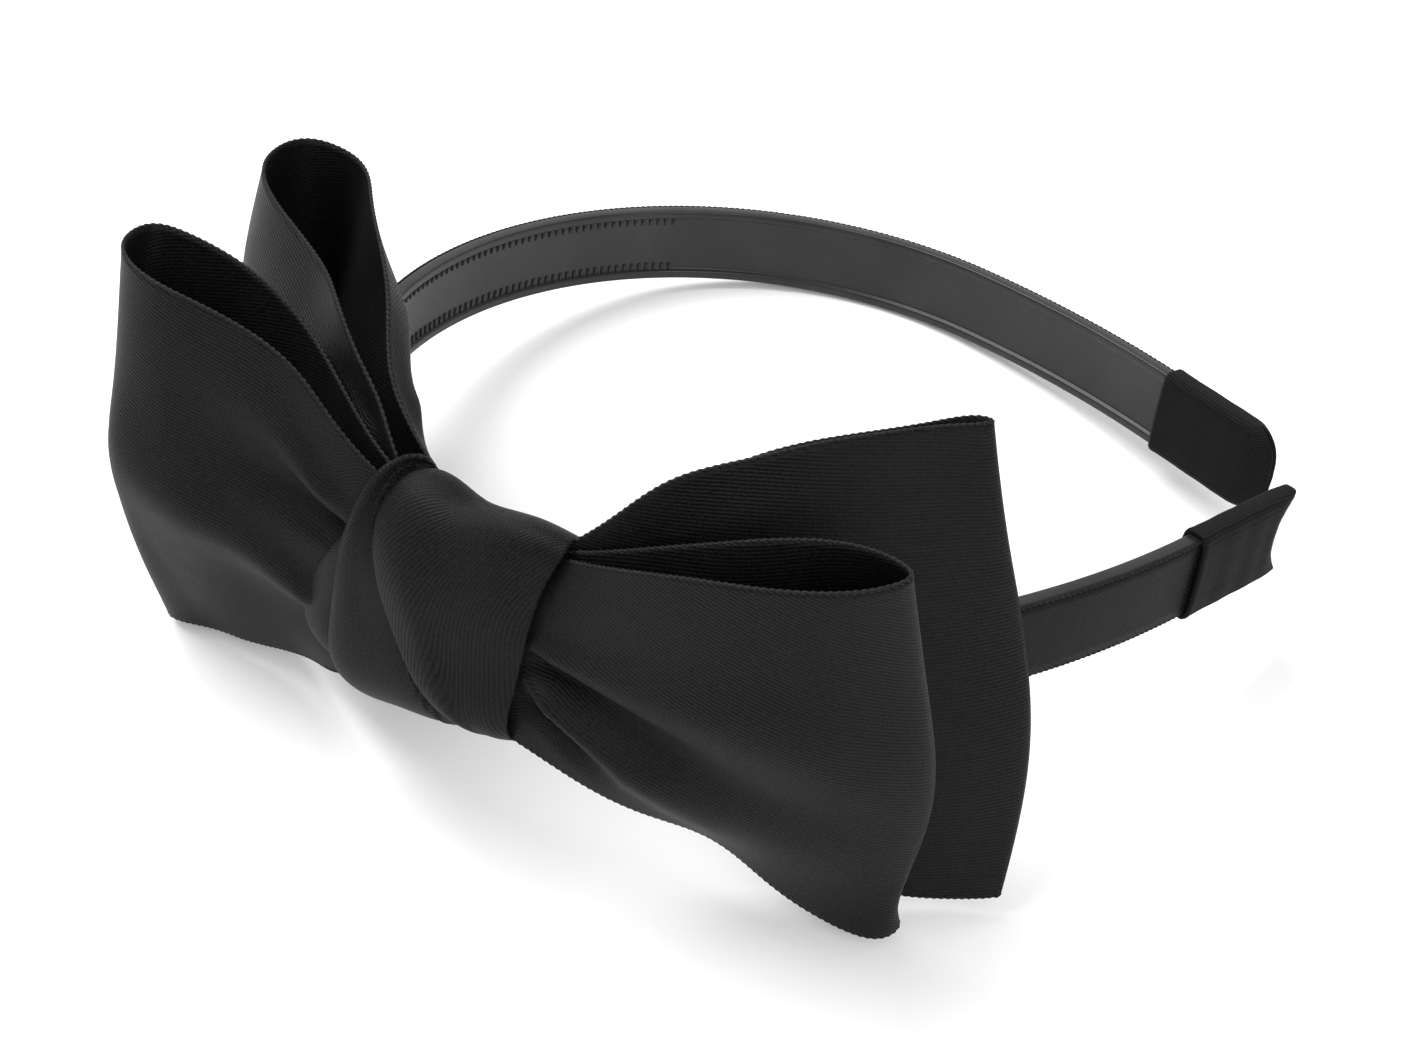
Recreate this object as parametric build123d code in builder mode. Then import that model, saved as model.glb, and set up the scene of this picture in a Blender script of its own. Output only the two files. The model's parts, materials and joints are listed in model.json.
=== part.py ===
from build123d import *
import os
from math import cos, radians, sin

# Double-bow headband at rest on a table: millimetres and degrees, +Z up, +X from the crown to the tips.

# Springy plastic band: a crown arc, a flatter shoulder arc and a short straight end on each side
BAND_WIDTH = 12.5
CROWN_RADIUS = 57.3
CROWN_SWEEP = 123.0
SHOULDER_RADIUS = 148.0
SHOULDER_SWEEP = 15.0
STRAIGHT_END = 18.0
WALL = 1.4
RIM_HEIGHT = 0.6
RIM_WIDTH = 1.3
TOOTH_PITCH_ANGLE = 1.3
TOOTH_COUNT = 54
TOOTH_SIZE = (0.6, 1.3)
TOOTH_HEIGHT = 0.35
TOOTH_ROOT = 0.3
TOOTH_ROW_GAP = 0.1

# Cover ribbon on the outer face, and the ribbed elastic sleeve over each end
COVER_WIDTH = 12.0
COVER_THICKNESS = 0.4
SLEEVE_GRIP = 17.0
SLEEVE_OVERHANG = 5.0
SLEEVE_WALL = 0.8
SLEEVE_CLEARANCE = 0.1
SLEEVE_CORNER = 1.2
BAND_DEPTH = RIM_HEIGHT + WALL
OUTER_FACE = BAND_DEPTH + COVER_THICKNESS

# Bow: ribbon walls, and the knot's place round the crown, as angles from its middle down the near leg
RIBBON_WALL = 1.0
KNOT_ANGLE = 56.0
KNOT_ROUNDING = 2.5
WRAP_WALL = 1.2
WRAP_BACK = 1.2
# Each wrap: start and stop angles, outer height, reach below and above the band's middle
UNDER_WRAP = (38.0, 47.7, 15.2, 20.0, 17.0)
OVER_WRAP = (48.0, 74.0, 13.2, 17.0, 17.0)
FELT_WIDTH = 11.0
FELT_HALF_ANGLE = 9.0
FELT_THICKNESS = 1.0
THREAD_HALF_HEIGHT = 15.4
THREAD_HALF_ANGLE = 2.0
THREAD_WALL = 0.6
THREAD_LOW = 2.5
THREAD_HIGH = 11.2
WALL_STATIONS = 40
LOOP_REACH = 60.0

# Resting pose: the bow props the near side up, so the band leans to the far side and the tips dip
SIDE_TILT = 13.1
TIP_DIP = 3.4
REST_X, REST_Y, REST_Z = -53.25, 13.3, 23.35
band_plane = Plane(Pos(REST_X, REST_Y, REST_Z) * Rot(Y=TIP_DIP) * Rot(X=-SIDE_TILT))


def around(angle, height):
    """Point of the band's plane at an angle down the near leg, at a height above the cover ribbon."""
    radius = CROWN_RADIUS + OUTER_FACE + height
    return (CROWN_RADIUS - radius * cos(radians(angle)), -radius * sin(radians(angle)))


def facing(angle):
    """Plane on the cover at an angle: x down the near leg, y across the ribbon, z outwards."""
    turn = radians(angle)
    local = Plane(origin=around(angle, 0), x_dir=(sin(turn), -cos(turn), 0), z_dir=(-cos(turn), -sin(turn), 0))
    return Plane(band_plane.location * local.location)


def half_run(offset, side):
    """One side's curve at an offset outside the rims, from the crown's middle to the tip. side is -1 or 1."""
    crown = JernArc((-offset, 0), (0, side), CROWN_RADIUS + offset, -side * CROWN_SWEEP)
    shoulder = JernArc(crown @ 1, crown % 1, SHOULDER_RADIUS + offset, -side * SHOULDER_SWEEP)
    straight = Line(shoulder @ 1, shoulder @ 1 + STRAIGHT_END * (shoulder % 1))
    return crown @ 0, straight @ 1


def half_strip(inner, outer, side):
    """Sketch of one side's strip between two offsets."""
    with BuildSketch() as strip:
        with BuildLine():
            inner_start, inner_end = half_run(inner, side)
            outer_start, outer_end = half_run(outer, side)
            Line(inner_start, outer_start)
            Line(inner_end, outer_end)
        make_face()
    return strip.sketch


def block(start, stop, low, high):
    """Sketch of a curved block round the crown between two angles and two heights above the cover."""
    base = CROWN_RADIUS + OUTER_FACE
    with BuildSketch() as sector:
        with BuildLine():
            inside = CenterArc((CROWN_RADIUS, 0), base + low, 180 + start, stop - start)
            outside = CenterArc((CROWN_RADIUS, 0), base + high, 180 + start, stop - start)
            Line(inside @ 0, outside @ 0)
            Line(inside @ 1, outside @ 1)
        make_face()
    return sector.sketch


def band_half(side):
    """Half of the plastic band: wall, a raised rim along each edge, and two rows of grip teeth."""
    with BuildPart() as half:
        with BuildSketch(band_plane.offset(-BAND_WIDTH / 2)):
            add(half_strip(RIM_HEIGHT, BAND_DEPTH, side))
        extrude(amount=BAND_WIDTH)
        for rim_base in (-BAND_WIDTH / 2, BAND_WIDTH / 2 - RIM_WIDTH):
            with BuildSketch(band_plane.offset(rim_base)):
                add(half_strip(0, RIM_HEIGHT + TOOTH_ROOT, side))
            extrude(amount=RIM_WIDTH)
        tooth_length = TOOTH_HEIGHT + TOOTH_ROOT
        tooth_radius = CROWN_RADIUS + RIM_HEIGHT - TOOTH_HEIGHT + tooth_length / 2
        sweep = (TOOTH_COUNT - 1) * TOOTH_PITCH_ANGLE
        first = 180 + TOOTH_PITCH_ANGLE if side < 0 else 180 - TOOTH_PITCH_ANGLE - sweep
        row_middle = BAND_WIDTH / 2 - RIM_WIDTH - TOOTH_SIZE[1] / 2 - TOOTH_ROW_GAP
        for row in (-row_middle, row_middle):
            with BuildSketch(band_plane.offset(row - TOOTH_SIZE[1] / 2)):
                with Locations((CROWN_RADIUS, 0)):
                    with PolarLocations(tooth_radius, TOOTH_COUNT, first, sweep, endpoint=True):
                        Rectangle(tooth_length, TOOTH_SIZE[0])
            extrude(amount=TOOTH_SIZE[1])
    return half


def cover_half(side):
    """Half of the ribbon glued along the band's outer face."""
    with BuildPart() as half:
        with BuildSketch(band_plane.offset(-COVER_WIDTH / 2)):
            add(half_strip(BAND_DEPTH, OUTER_FACE, side))
        extrude(amount=COVER_WIDTH)
    return half


def end_sleeve(side):
    """Elastic tube pulled over one end of the band, open past the tip."""
    with BuildLine() as middle:
        half_run(OUTER_FACE / 2, side)
    end = middle.edges().sort_by(Axis.X)[-1]
    along = end % 1
    mouth = Plane(origin=end @ 1 - SLEEVE_GRIP * along, x_dir=(0, 0, 1), z_dir=along)
    inner_width = BAND_WIDTH + 2 * SLEEVE_CLEARANCE
    inner_depth = OUTER_FACE + 2 * SLEEVE_CLEARANCE
    with BuildPart() as sleeve:
        with BuildSketch(Plane(band_plane.location * mouth.location)):
            RectangleRounded(inner_width + 2 * SLEEVE_WALL, inner_depth + 2 * SLEEVE_WALL, SLEEVE_CORNER)
            Rectangle(inner_width, inner_depth, mode=Mode.SUBTRACT)
        extrude(amount=SLEEVE_GRIP + SLEEVE_OVERHANG)
    return sleeve


def bow_loop(outline, turn, facing_angle, upper, lower):
    """Ribbon loop: a thin wall inside an outline of (angle, height) points, flared from the knot to the fold.

    turn is 90 where the outline runs anticlockwise and -90 where it runs clockwise, so that the wall is inside it.
    """
    with BuildPart() as loop:
        with BuildSketch(band_plane):
            with BuildLine():
                face = Spline(*[around(angle, height) for angle, height in outline])
                stations = [step / WALL_STATIONS for step in range(WALL_STATIONS + 1)]
                back = Spline(*[face @ u + RIBBON_WALL * (face % u).rotate(Axis.Z, turn) for u in stations])
                Line(face @ 0, back @ 0)
                Line(face @ 1, back @ 1)
            make_face()
        extrude(amount=LOOP_REACH, both=True)
        with BuildSketch(facing(facing_angle)):
            with BuildLine():
                top = Spline(*upper)
                bottom = Spline(*lower)
                Line(top @ 0, bottom @ 0)
                Line(top @ 1, bottom @ 1)
            make_face()
        extrude(amount=LOOP_REACH, both=True, mode=Mode.INTERSECT)
    return loop


def knot_wrap(start, stop, high, below, above):
    """Strip of ribbon wrapped round the bow's waist, hollow along the band."""
    with BuildPart() as wrap:
        with BuildSketch(band_plane.offset(-below)):
            add(block(start, stop, WRAP_BACK, high))
        extrude(amount=below + above)
        fillet(wrap.edges().filter_by(GeomType.CIRCLE).sort_by(SortBy.RADIUS)[-2:], KNOT_ROUNDING)
        with BuildSketch(band_plane.offset(WRAP_WALL - below)):
            add(block(start - 1, stop + 1, WRAP_BACK + WRAP_WALL, high - WRAP_WALL))
        extrude(amount=below + above - 2 * WRAP_WALL, mode=Mode.SUBTRACT)
    return wrap


# Bow loops. outline: (angle, height) points from the root out along the front sheet, round the fold and back
# beside the band. facing: the angle that the loop is seen square from. upper and lower: its two selvedges there.
LOOPS = {
    "back_loop_left": dict(
        outline=[(55.9, 6.4), (38, 6.8), (24, 9.8), (10, 13.6), (-2, 13.6), (-9, 8.6),
                 (-4, 4.6), (6, 2.8), (20, 1.8), (38, 3.0), (55.9, 3.2)],
        turn=-90, facing_angle=20,
        upper=[(38, 14), (20, 15.5), (2, 26), (-36, 30)],
        lower=[(38, -14), (20, -15.5), (2, -19.5), (-36, -20.5)]),
    "back_loop_right": dict(
        outline=[(56.1, 6.4), (74, 6.6), (90, 8.6), (108, 10.4), (121, 9.4), (126.5, 6.0),
                 (121, 2.4), (108, 1.0), (90, 1.6), (74, 3.0), (56.1, 3.2)],
        turn=90, facing_angle=90,
        upper=[(-36, 14), (-17, 15.5), (2, 27), (44, 34)],
        lower=[(-36, -14), (-17, -15.5), (2, -24), (44, -26.9)]),
    "front_loop_left": dict(
        outline=[(55.9, 10.2), (46, 10.4), (38, 12.4), (31, 20), (25, 26), (19, 29.5), (14, 27),
                 (15, 21), (22, 15.8), (32, 11.4), (42, 8.6), (55.9, 7.1)],
        turn=-90, facing_angle=30,
        upper=[(29, 14), (9, 15), (-8, 27), (-34, 32)],
        lower=[(29, -14), (9, -15.5), (-8, -25), (-34, -28.2)]),
    "front_loop_right": dict(
        outline=[(56.1, 10.5), (74, 11.2), (88, 18), (100, 22), (107, 21), (110, 17.5),
                 (106, 14.8), (98, 12.8), (88, 11), (74, 7.7), (56.1, 7.1)],
        turn=90, facing_angle=85,
        upper=[(-31, 14), (-13, 15.5), (4, 23), (44, 29)],
        lower=[(-31, -14), (-13, -15.5), (4, -25), (44, -33)]),
}

pieces = {}
for side, word in ((-1, "near"), (1, "far")):
    pieces[f"band_{word}_half"] = band_half(side)
    pieces[f"cover_{word}_half"] = cover_half(side)
    pieces[f"{word}_end_sleeve"] = end_sleeve(side)
for loop_name, shape in LOOPS.items():
    pieces[loop_name] = bow_loop(**shape)
pieces["knot_under_wrap"] = knot_wrap(*UNDER_WRAP)
pieces["knot_over_wrap"] = knot_wrap(*OVER_WRAP)

# Felt patch glued between the cover ribbon and the knot's back
with BuildPart() as backing_felt:
    with BuildSketch(band_plane.offset(-FELT_WIDTH / 2)):
        add(block(KNOT_ANGLE - FELT_HALF_ANGLE, KNOT_ANGLE + FELT_HALF_ANGLE, 0, FELT_THICKNESS))
    extrude(amount=FELT_WIDTH)
pieces["backing_felt"] = backing_felt

# Thread bound round the gathered waist of both bows, inside the knot
with BuildPart() as waist_thread:
    with BuildSketch(band_plane.offset(-THREAD_HALF_HEIGHT)):
        add(block(KNOT_ANGLE - THREAD_HALF_ANGLE, KNOT_ANGLE + THREAD_HALF_ANGLE, THREAD_LOW, THREAD_HIGH))
    extrude(amount=2 * THREAD_HALF_HEIGHT)
    with BuildSketch(band_plane.offset(THREAD_WALL - THREAD_HALF_HEIGHT)):
        add(block(KNOT_ANGLE - 2 * THREAD_HALF_ANGLE, KNOT_ANGLE + 2 * THREAD_HALF_ANGLE,
                  THREAD_LOW + THREAD_WALL, THREAD_HIGH - THREAD_WALL))
    extrude(amount=2 * (THREAD_HALF_HEIGHT - THREAD_WALL), mode=Mode.SUBTRACT)
pieces["waist_thread"] = waist_thread

os.makedirs("parts", exist_ok=True)
for name, piece in pieces.items():
    piece.part.label = name
    export_step(piece.part, f"parts/{name}.step")
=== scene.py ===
import json
from math import cos, degrees, pi, radians, sin, sqrt

import bpy
import numpy as np
from mathutils import Matrix, Vector


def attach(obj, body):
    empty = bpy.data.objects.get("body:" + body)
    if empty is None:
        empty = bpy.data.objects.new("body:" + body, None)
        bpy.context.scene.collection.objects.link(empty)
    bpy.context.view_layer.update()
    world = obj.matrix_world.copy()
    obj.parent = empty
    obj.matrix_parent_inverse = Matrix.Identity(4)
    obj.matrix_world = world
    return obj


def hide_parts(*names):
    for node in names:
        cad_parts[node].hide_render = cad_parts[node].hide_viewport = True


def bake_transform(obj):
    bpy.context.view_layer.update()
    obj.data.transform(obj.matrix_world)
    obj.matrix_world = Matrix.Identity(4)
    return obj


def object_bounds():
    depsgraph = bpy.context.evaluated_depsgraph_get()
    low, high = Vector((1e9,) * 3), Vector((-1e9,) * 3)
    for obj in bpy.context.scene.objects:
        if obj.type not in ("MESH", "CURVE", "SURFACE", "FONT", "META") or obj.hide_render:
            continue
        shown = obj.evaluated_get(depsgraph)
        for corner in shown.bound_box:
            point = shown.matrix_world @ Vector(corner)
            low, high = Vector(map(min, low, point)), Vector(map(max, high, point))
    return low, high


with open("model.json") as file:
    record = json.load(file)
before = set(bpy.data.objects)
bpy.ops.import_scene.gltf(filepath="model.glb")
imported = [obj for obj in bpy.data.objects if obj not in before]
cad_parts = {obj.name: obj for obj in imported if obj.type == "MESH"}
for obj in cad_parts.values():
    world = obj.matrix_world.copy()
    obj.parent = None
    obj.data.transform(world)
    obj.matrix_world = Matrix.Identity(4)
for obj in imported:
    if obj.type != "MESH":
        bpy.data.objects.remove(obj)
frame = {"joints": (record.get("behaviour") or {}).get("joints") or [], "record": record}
cad_box = [list(corner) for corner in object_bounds()]

# ---------------------------------------------------------------- the band's own frame, in millimetres
# x runs from the crown to the tips, y to the far leg and z across the band. The origin is the middle of the
# crown's inner face.

MM = 0.001
CROWN_RADIUS = 57.3
CROWN_RUN = CROWN_RADIUS * radians(123)
SHOULDER_RADIUS = 148.0
SHOULDER_RUN = SHOULDER_RADIUS * radians(15)
STRAIGHT_RUN = 18.0
HALF_RUN = CROWN_RUN + SHOULDER_RUN + STRAIGHT_RUN
BAND_HALF_WIDTH = 6.25
RIM_HEIGHT = 0.6
RIM_WIDTH = 1.3
BAND_DEPTH = 2.0
COVER_THICKNESS = 0.4
COVER_HALF_WIDTH = 6.0
OUTER_FACE = BAND_DEPTH + COVER_THICKNESS
COVER_RADIUS = CROWN_RADIUS + OUTER_FACE

flex = next(joint for joint in frame["joints"] if joint["name"] == "band_flex")
grip = next(mount for mount in frame["record"]["mounts"] if mount["kind"] == "clamp")
hinge = np.array(flex["pos_m"])
band_z = np.array(flex["axis"]) / np.linalg.norm(flex["axis"])
grip_point = np.array(grip["pos_m"])
grip_point = grip_point - band_z * ((grip_point - hinge) @ band_z)
band_x = (grip_point - hinge) / np.linalg.norm(grip_point - hinge)
band_y = np.cross(band_z, band_x)
AXES = np.array([band_x, band_y, band_z])
ORIGIN = hinge + OUTER_FACE * MM * band_x


def to_row(points):
    """Band-frame millimetres to the row frame's metres."""
    return ORIGIN + MM * np.asarray(points, float) @ AXES


def bow_point(angle, height, z):
    """Point at an angle down the near leg, at a height above the cover ribbon."""
    radius = COVER_RADIUS + height
    return (CROWN_RADIUS - radius * cos(radians(angle)), -radius * sin(radians(angle)), z)


def band_line(run, offset):
    """Point in the band's plane at a signed run along the inner face, at an offset outside the rims."""
    side = 1 if run >= 0 else -1
    run = abs(run)
    angle = min(run, CROWN_RUN) / CROWN_RADIUS
    centre = np.array([CROWN_RADIUS, 0.0])
    radius = CROWN_RADIUS
    if run > CROWN_RUN:
        bend = np.array([-cos(angle), sin(angle)])
        centre = centre + (CROWN_RADIUS - SHOULDER_RADIUS) * bend
        radius = SHOULDER_RADIUS
        angle += min(run - CROWN_RUN, SHOULDER_RUN) / SHOULDER_RADIUS
    outward = np.array([-cos(angle), sin(angle)])
    point = centre + (radius + offset) * outward
    beyond = run - CROWN_RUN - SHOULDER_RUN
    if beyond > 0:
        point = point + beyond * np.array([sin(angle), cos(angle)])
    return point[0], side * point[1]


# ---------------------------------------------------------------- curves and meshes


def spline(points, count, closed=False):
    """A natural cubic spline through the points, as count points evenly spread along its chords."""
    points = np.asarray(points, float)
    if closed:
        whole = spline(np.concatenate([points, points, points, points[:1]]), 3 * count + 1)
        return whole[count:2 * count]
    knots = np.concatenate([[0], np.cumsum(np.linalg.norm(np.diff(points, axis=0), axis=1))])
    return spline_at(knots, points, np.linspace(0, knots[-1], count))


def spline_at(knots, points, places):
    """A natural cubic spline through points at the given knots, at the given places."""
    last = len(knots) - 1
    step = np.diff(knots)
    matrix = np.eye(last + 1)
    right = np.zeros_like(points, float)
    for i in range(1, last):
        matrix[i, i - 1:i + 2] = step[i - 1], 2 * (step[i - 1] + step[i]), step[i]
        after, before = (points[i + 1] - points[i]) / step[i], (points[i] - points[i - 1]) / step[i - 1]
        right[i] = 6 * (after - before)
    bend = np.linalg.solve(matrix, right.reshape(last + 1, -1)).reshape(right.shape)
    i = np.clip(np.searchsorted(knots, places) - 1, 0, last - 1)
    wide = (slice(None),) + (None,) * (points.ndim - 1)
    s, before, after = step[i][wide], (places - knots[i])[wide], (knots[i + 1] - places)[wide]
    curve = (bend[i] * after**3 + bend[i + 1] * before**3) / (6 * s)
    curve = curve + (points[i] / s - bend[i] * s / 6) * after
    return curve + (points[i + 1] / s - bend[i + 1] * s / 6) * before


def surface(rows, along, across):
    """A smooth grid, across by along points, through rows of points that run the same way."""
    rows = np.asarray(rows, float)
    run = np.linalg.norm(np.diff(rows, axis=1), axis=2).mean(0)
    knots = np.concatenate([[0], np.cumsum(run)])
    fine = spline_at(knots, rows.transpose(1, 0, 2), np.linspace(0, run.sum(), along))
    gap = np.linalg.norm(np.diff(rows, axis=0), axis=2).mean(1)
    knots = np.concatenate([[0], np.cumsum(gap)])
    return spline_at(knots, fine.transpose(1, 0, 2), np.linspace(0, gap.sum(), across))


def grid_normals(grid, closed=False):
    """Unit normals of a grid. closed says that its rows join end to end."""
    if closed:
        around = np.roll(grid, -1, axis=1) - np.roll(grid, 1, axis=1)
    else:
        around = np.gradient(grid, axis=1)
    normals = np.cross(around, np.gradient(grid, axis=0))
    return normals / np.maximum(np.linalg.norm(normals, axis=2, keepdims=True), 1e-9)


def grid_uv(grid):
    """Real distances, in metres, along the middle row and across each column from that row."""
    middle = len(grid) // 2
    along = np.concatenate([[0], np.cumsum(np.linalg.norm(np.diff(grid[middle], axis=0), axis=1))])
    across = np.concatenate([np.zeros((1, grid.shape[1])),
                             np.cumsum(np.linalg.norm(np.diff(grid, axis=0), axis=2), axis=0)])
    across = across - across[middle]
    return MM * np.stack([np.broadcast_to(along, across.shape), across], axis=2)


class Shape:
    """Points, faces, UVs and material numbers that become one mesh."""

    def __init__(self):
        self.points, self.faces, self.uvs, self.materials, self.count = [], [], [], [], 0

    def add(self, points, faces, uv, material=0, corners=None):
        """uv has one pair for each point, or for each index in corners where a seam needs two at a point."""
        points, uv = np.asarray(points, float).reshape(-1, 3), np.asarray(uv, float).reshape(-1, 2)
        self.points.append(points)
        self.uvs += [uv[i] for face in (faces if corners is None else corners) for i in face]
        self.faces += [[self.count + i for i in face] for face in faces]
        self.materials += [material] * len(faces)
        self.count += len(points)

    def sheet(self, grid, thickness, closed=False, uv=None):
        """A cloth of that thickness about a grid, closed round its edges."""
        rows, columns = grid.shape[:2]
        normals = grid_normals(grid, closed)
        uv = grid_uv(grid) if uv is None else uv
        points = np.concatenate([(grid + thickness / 2 * normals).reshape(-1, 3),
                                 (grid - thickness / 2 * normals).reshape(-1, 3)])
        last = columns if closed else columns - 1
        quads = []
        for i in range(rows - 1):
            for j in range(last):
                quad = [(0, i, j), (0, i, j + 1), (0, i + 1, j + 1), (0, i + 1, j)]
                quads += [quad, [(1, i, j) for _, i, j in reversed(quad)]]
        edges = []
        for j in range(last):
            edges += [((0, j + 1), (0, j)), ((rows - 1, j), (rows - 1, j + 1))]
        if not closed:
            for i in range(rows - 1):
                edges += [((i, 0), (i + 1, 0)), ((i + 1, last), (i, last))]
        quads += [[(0, *a), (0, *b), (1, *b), (1, *a)] for a, b in edges]
        uv_columns = uv.shape[1]
        faces = [[(side * rows + i) * columns + j % columns for side, i, j in quad] for quad in quads]
        corners = [[i * uv_columns + j % uv_columns for _, i, j in quad] for quad in quads]
        self.add(points, faces, uv, corners=corners)

    def tube(self, rings, material=0):
        """Rings of points joined into a tube with capped ends."""
        rings = np.asarray(rings, float)
        count, sides = rings.shape[:2]
        faces = []
        for i in range(count - 1):
            for j in range(sides):
                k = (j + 1) % sides
                faces.append([i * sides + j, i * sides + k, (i + 1) * sides + k, (i + 1) * sides + j])
        faces += [list(reversed(range(sides))), [(count - 1) * sides + j for j in range(sides)]]
        centres = rings.mean(1)
        along = np.concatenate([[0], np.cumsum(np.linalg.norm(np.diff(centres, axis=0), axis=1))])
        around = np.concatenate([[0], np.cumsum(np.linalg.norm(np.diff(rings[0], axis=0), axis=1))])
        uv = MM * np.stack(np.meshgrid(along, around, indexing="ij"), axis=2)
        self.add(rings, faces, uv, material)

    def build(self, name, materials, sharp=None):
        """The finished object, smooth shaded. Edges over the angle sharp, in degrees, stay crisp."""
        mesh = bpy.data.meshes.new(name)
        points = to_row(np.concatenate(self.points))
        mesh.from_pydata(points.tolist(), [], self.faces)
        mesh.uv_layers.new(name="UVMap").data.foreach_set("uv", np.array(self.uvs, np.float32).ravel())
        mesh.polygons.foreach_set("material_index", self.materials)
        mesh.polygons.foreach_set("use_smooth", [True] * len(self.faces))
        for material in materials:
            mesh.materials.append(material)
        mesh.validate()
        if sharp is not None:
            mesh.set_sharp_from_angle(angle=radians(sharp))
        thing = bpy.data.objects.new(name, mesh)
        bpy.context.scene.collection.objects.link(thing)
        return thing


ANY_DIRECTION = (0.31, 0.52, 0.79)


def frames_along(path):
    """Two steady cross directions at each point of a path."""
    tangents = np.gradient(path, axis=0)
    tangents /= np.linalg.norm(tangents, axis=1, keepdims=True)
    side = np.cross(tangents[0], ANY_DIRECTION)
    sides = []
    for tangent in tangents:
        side = side - tangent * (side @ tangent)
        side = side / np.linalg.norm(side)
        sides.append(side)
    sides = np.array(sides)
    return sides, np.cross(tangents, sides)


STEPS_PER_TWIST = 6


def twisted_cord(path, radii, pitch, sides=8):
    """Rings of a cord of oval section that turns half round in each pitch, to read as a twisted edge."""
    length = np.linalg.norm(np.diff(path, axis=0), axis=1).sum()
    path = spline(path, int(length / pitch * STEPS_PER_TWIST))
    side, up = frames_along(path)
    turn = pi * np.arange(len(path)) / STEPS_PER_TWIST
    rings = []
    for j in range(sides):
        angle = 2 * pi * j / sides
        a, b = radii[0] * cos(angle), radii[1] * sin(angle)
        x = a * np.cos(turn) - b * np.sin(turn)
        y = a * np.sin(turn) + b * np.cos(turn)
        rings.append(path + x[:, None] * side + y[:, None] * up)
    return np.array(rings).transpose(1, 0, 2)


# ---------------------------------------------------------------- materials
# Pitches are in metres.

TWILL_PITCH = 0.0005
THREAD_SHARE = 0.62
THREAD_TURN = 97
EDGE_STRAND_PITCH = 0.0003
ELASTIC_RIB_PITCH = 0.00042
SEWING_TWIST_PITCH = 0.0004


def new_material(name, colour, roughness, sheen=0.0, coat=0.0, specular=0.5):
    material = bpy.data.materials.new(name)
    material.use_nodes = True
    shader = material.node_tree.nodes["Principled BSDF"]
    shader.inputs["Base Color"].default_value = (*colour, 1)
    shader.inputs["Roughness"].default_value = roughness
    shader.inputs["Sheen Weight"].default_value = sheen
    shader.inputs["Sheen Roughness"].default_value = 0.35
    shader.inputs["Coat Weight"].default_value = coat
    shader.inputs["Coat Roughness"].default_value = 0.15
    shader.inputs["Specular IOR Level"].default_value = specular
    return material, material.node_tree, shader


def node(tree, kind, links=(), **settings):
    """A node with its settings. links are (input, output socket) pairs."""
    made = tree.nodes.new(kind)
    for key, value in settings.items():
        setattr(made, key, value)
    for socket, source in links:
        tree.links.new(source, made.inputs[socket])
    return made


def ramp(tree, source, low, high, dark, light):
    """A colour that runs from dark to light as the source goes from low to high."""
    made = node(tree, "ShaderNodeValToRGB", [("Fac", source)])
    for element, place, colour in zip(made.color_ramp.elements, (low, high), (dark, light)):
        element.position = place
        element.color = (*colour, 1)
    return made.outputs["Color"]


def span(tree, source, low, high):
    """The source, 0 to 1, carried to low to high."""
    made = node(tree, "ShaderNodeMapRange", [("Value", source)])
    made.inputs["To Min"].default_value = low
    made.inputs["To Max"].default_value = high
    return made.outputs["Result"]


def average(tree, sources):
    """The mean of several values."""
    total = sources[0]
    for source in sources[1:]:
        total = node(tree, "ShaderNodeMath", [(0, total), (1, source)], operation="ADD").outputs[0]
    mean = node(tree, "ShaderNodeMath", [(0, total)], operation="DIVIDE")
    mean.inputs[1].default_value = len(sources)
    return mean.outputs[0]


def bump(tree, height, strength, distance, below=None):
    """A normal bent by a height map whose full height is the distance, over the normal below."""
    made = node(tree, "ShaderNodeBump", [("Height", height)])
    made.inputs["Strength"].default_value = strength
    made.inputs["Distance"].default_value = distance
    if below is not None:
        tree.links.new(below, made.inputs["Normal"])
    return made.outputs["Normal"]


def lines(tree, coordinates, pitch, angle, distortion=0.0):
    """Parallel ridges, 0 to 1, of that pitch in metres, turned by an angle in degrees."""
    turned = node(tree, "ShaderNodeMapping", [("Vector", coordinates)])
    turned.inputs["Rotation"].default_value[2] = radians(angle)
    wave = node(tree, "ShaderNodeTexWave", [("Vector", turned.outputs["Vector"])], wave_type="BANDS",
                bands_direction="X", wave_profile="SIN")
    wave.inputs["Scale"].default_value = 2 * pi / (20 * pitch)
    wave.inputs["Distortion"].default_value = distortion
    wave.inputs["Detail"].default_value = 1.0
    wave.inputs["Detail Scale"].default_value = 1.2
    return wave.outputs["Fac"]


def noise(tree, coordinates, size, detail):
    """Soft noise, 0 to 1, with features of about that size in metres."""
    made = node(tree, "ShaderNodeTexNoise", [("Vector", coordinates)])
    made.inputs["Scale"].default_value = 1 / size
    made.inputs["Detail"].default_value = detail
    return made.outputs["Fac"]


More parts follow.
